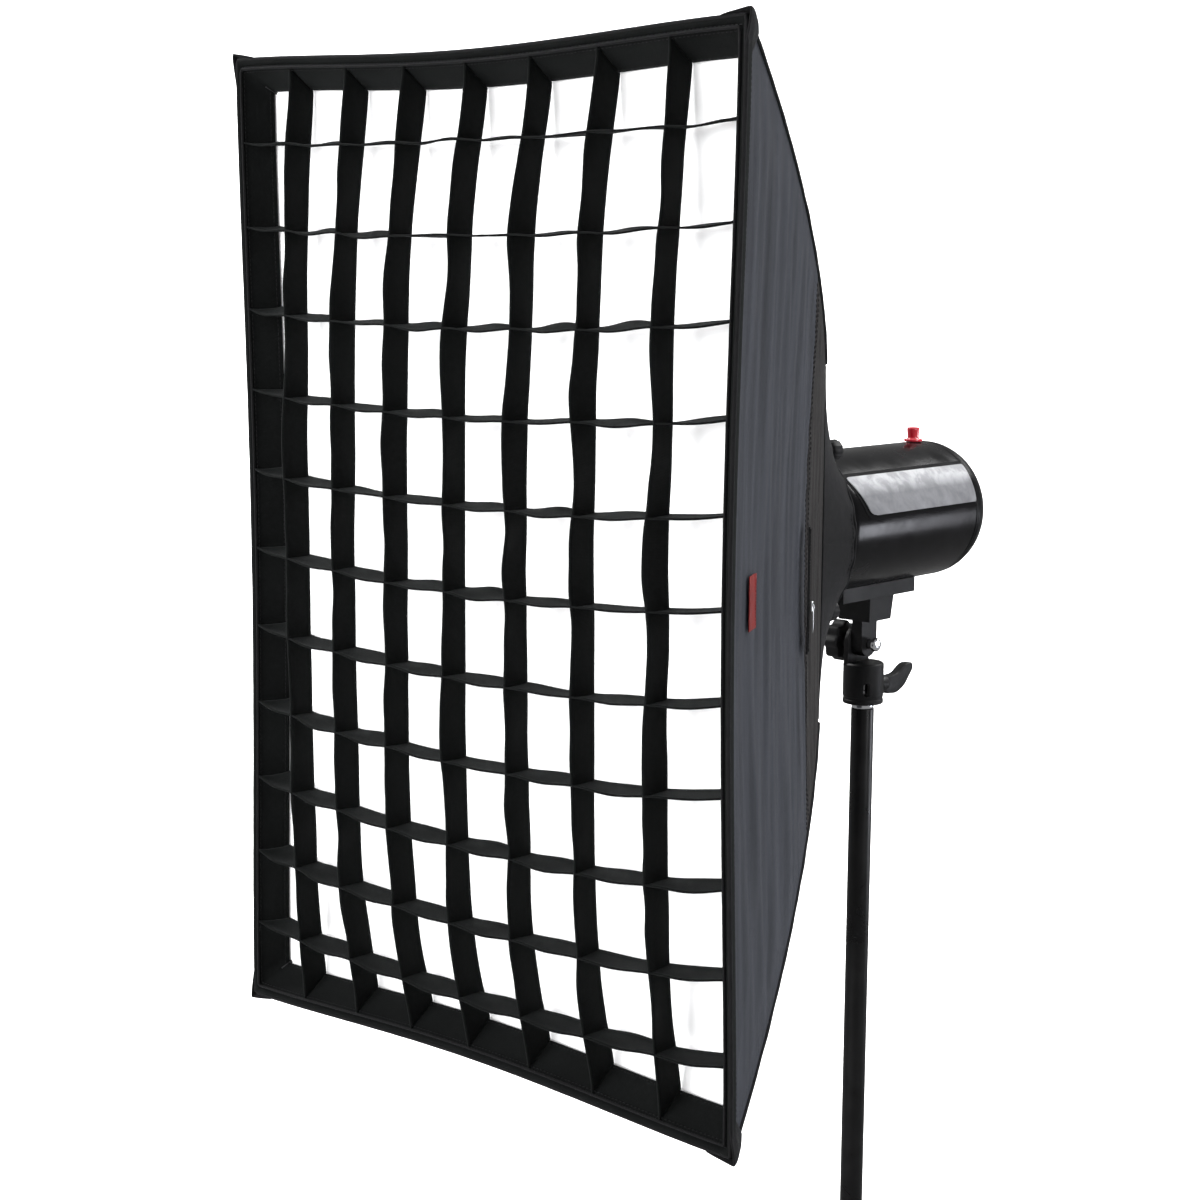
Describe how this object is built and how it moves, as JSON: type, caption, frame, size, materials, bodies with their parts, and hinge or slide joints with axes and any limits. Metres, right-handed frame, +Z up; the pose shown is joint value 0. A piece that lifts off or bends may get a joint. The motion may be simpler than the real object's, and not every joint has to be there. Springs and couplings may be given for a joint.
{
  "type": "studio softbox",
  "caption": "Rectangular softbox with a fabric egg-crate grid on a round flash head, with a tilting bracket and a folding stand.",
  "frame": {"origin": "bottom centre of the whole part's box, on the floor", "axes": "+Z up; the softbox faces -Y, and its zip and tag are on the +X side"},
  "size_m": [0.7978, 0.8626, 1.858],
  "materials": {
    "shell_fabric": "coated nylon, silver inside",
    "black_webbing": "matte woven nylon",
    "white_fabric": "translucent diffusion cloth",
    "red_fabric": "woven tag",
    "rod_resin": "glass-fibre rod",
    "cast_alloy": "satin cast",
    "gloss_body": "gloss black",
    "silver_plate": "satin silver",
    "black_plastic": "fine texture",
    "red_plastic": "clear red",
    "clear_glass": "clear",
    "black_casting": "black powder coat",
    "bright_metal": "plated",
    "black_tube": "satin black",
    "foot_rubber": "moulded"
  },
  "bodies": {
    "base": {"base_tube": "black_tube", "base_cap": "black_plastic", "height_collar": "black_casting", "leg_collar": "black_casting", "leg_1": "black_tube", "foot_1": "foot_rubber"},
    "second_leg": {"leg_2": "black_tube", "foot_2": "foot_rubber"},
    "front_leg": {"leg_3": "black_tube", "foot_3": "foot_rubber"},
    "mast": {"top_tube": "black_tube", "spigot": "bright_metal"},
    "receiver": {"stand_receiver": "black_casting", "pivot_bolt": "bright_metal"},
    "head": {"mounting_plate": "black_casting", "tilt_bracket": "black_casting", "head_housing": "gloss_body", "front_flange": "cast_alloy", "rear_bezel": "gloss_body", "badge_plate_right": "silver_plate", "badge_plate_left": "silver_plate", "capacitor_bank": "black_plastic", "control_panel": "black_plastic", "mains_inlet": "black_plastic", "slave_sensor": "red_plastic", "flash_tube": "clear_glass", "modelling_lamp": "clear_glass", "bayonet_insert": "cast_alloy"},
    "softbox": {"shell_right": "shell_fabric", "shell_left": "shell_fabric", "shell_top": "shell_fabric", "shell_bottom": "shell_fabric", "rear_collar": "shell_fabric", "front_hem": "black_webbing", "front_diffuser": "white_fabric", "inner_baffle": "white_fabric", "egg_crate_grid": "black_webbing", "vent_zip": "black_webbing", "side_tag": "red_fabric", "flex_rod_1": "rod_resin", "flex_rod_2": "rod_resin", "flex_rod_3": "rod_resin", "flex_rod_4": "rod_resin", "speed_ring": "cast_alloy"},
    "knob_1": {"rod_lock_knob_1": "black_plastic"},
    "knob_2": {"rod_lock_knob_2": "black_plastic"},
    "knob_3": {"rod_lock_knob_3": "black_plastic"},
    "knob_4": {"rod_lock_knob_4": "black_plastic"},
    "slider": {"zip_slider": "bright_metal"},
    "height_lock": {"height_knob": "black_plastic"},
    "leg_lock": {"leg_lock_knob": "black_plastic"},
    "tilt_lock": {"tilt_knob": "black_plastic"},
    "stand_lock": {"clamp_lever": "black_plastic"},
    "dial": {"power_dial": "black_plastic"},
    "button": {"test_button": "red_plastic"},
    "rocker": {"power_switch": "black_plastic"}
  },
  "joints": [
    {"name": "mast_slide", "type": "slide", "parent": "base", "child": "mast", "axis": [0, 0, 1], "range_m": [-0.09, 0.31]},
    {"name": "second_leg_swing", "type": "hinge", "parent": "base", "child": "second_leg", "pos_m": [0.03865, 0.17127, 0.153], "axis": [0, 0, 1], "range_deg": [-120, 0]},
    {"name": "front_leg_swing", "type": "hinge", "parent": "base", "child": "front_leg", "pos_m": [0.03865, 0.17127, 0.182], "axis": [0, 0, 1], "range_deg": [0, 120]},
    {"name": "pan", "type": "hinge", "parent": "mast", "child": "receiver", "pos_m": [0.03865, 0.17127, 1.2], "axis": [0, 0, 1], "continuous": true},
    {"name": "tilt", "type": "hinge", "parent": "receiver", "child": "head", "pos_m": [0.03865, 0.17127, 1.261], "axis": [1, 0, 0], "range_deg": [-60, 45]},
    {"name": "softbox_turn", "type": "hinge", "parent": "head", "child": "softbox", "pos_m": [0.03865, 0, 1.4], "axis": [0, 1, 0], "continuous": true},
    {"name": "knob_1_turn", "type": "hinge", "parent": "softbox", "child": "knob_1", "pos_m": [0.09301, 0.02, 1.48154], "axis": [0, 1, 0], "range_deg": [0, 540]},
    {"name": "knob_2_turn", "type": "hinge", "parent": "softbox", "child": "knob_2", "pos_m": [-0.01571, 0.02, 1.48154], "axis": [0, 1, 0], "range_deg": [0, 540]},
    {"name": "knob_3_turn", "type": "hinge", "parent": "softbox", "child": "knob_3", "pos_m": [-0.01571, 0.02, 1.31846], "axis": [0, 1, 0], "range_deg": [0, 540]},
    {"name": "knob_4_turn", "type": "hinge", "parent": "softbox", "child": "knob_4", "pos_m": [0.09301, 0.02, 1.31846], "axis": [0, 1, 0], "range_deg": [0, 540]},
    {"name": "zip_run", "type": "slide", "parent": "softbox", "child": "slider", "axis": [0, 0, 1], "range_m": [-0.03, 0.06]},
    {"name": "height_knob_turn", "type": "hinge", "parent": "base", "child": "height_lock", "pos_m": [0.03865, 0.22, 0.574], "axis": [0, 1, 0], "range_deg": [0, 540]},
    {"name": "leg_knob_turn", "type": "hinge", "parent": "base", "child": "leg_lock", "pos_m": [0.03865, 0.22, 0.21], "axis": [0, 1, 0], "range_deg": [0, 540]},
    {"name": "tilt_knob_turn", "type": "hinge", "parent": "receiver", "child": "tilt_lock", "pos_m": [0.008, 0.17127, 1.261], "axis": [-1, 0, 0], "range_deg": [0, 540]},
    {"name": "clamp_lever_turn", "type": "hinge", "parent": "receiver", "child": "stand_lock", "pos_m": [0.03865, 0.2, 1.212], "axis": [0, 1, 0], "range_deg": [0, 540]},
    {"name": "dial_turn", "type": "hinge", "parent": "head", "child": "dial", "pos_m": [0.03865, 0.3, 1.422], "axis": [0, 1, 0], "range_deg": [-150, 150]},
    {"name": "button_press", "type": "slide", "parent": "head", "child": "button", "axis": [0, -1, 0], "range_m": [0, 0.0025], "stiffness_N_per_m": 400},
    {"name": "rocker_tip", "type": "hinge", "parent": "head", "child": "rocker", "pos_m": [0.05965, 0.28927, 1.381], "axis": [0, 0, 1], "range_deg": [-8, 8]}
  ]
}
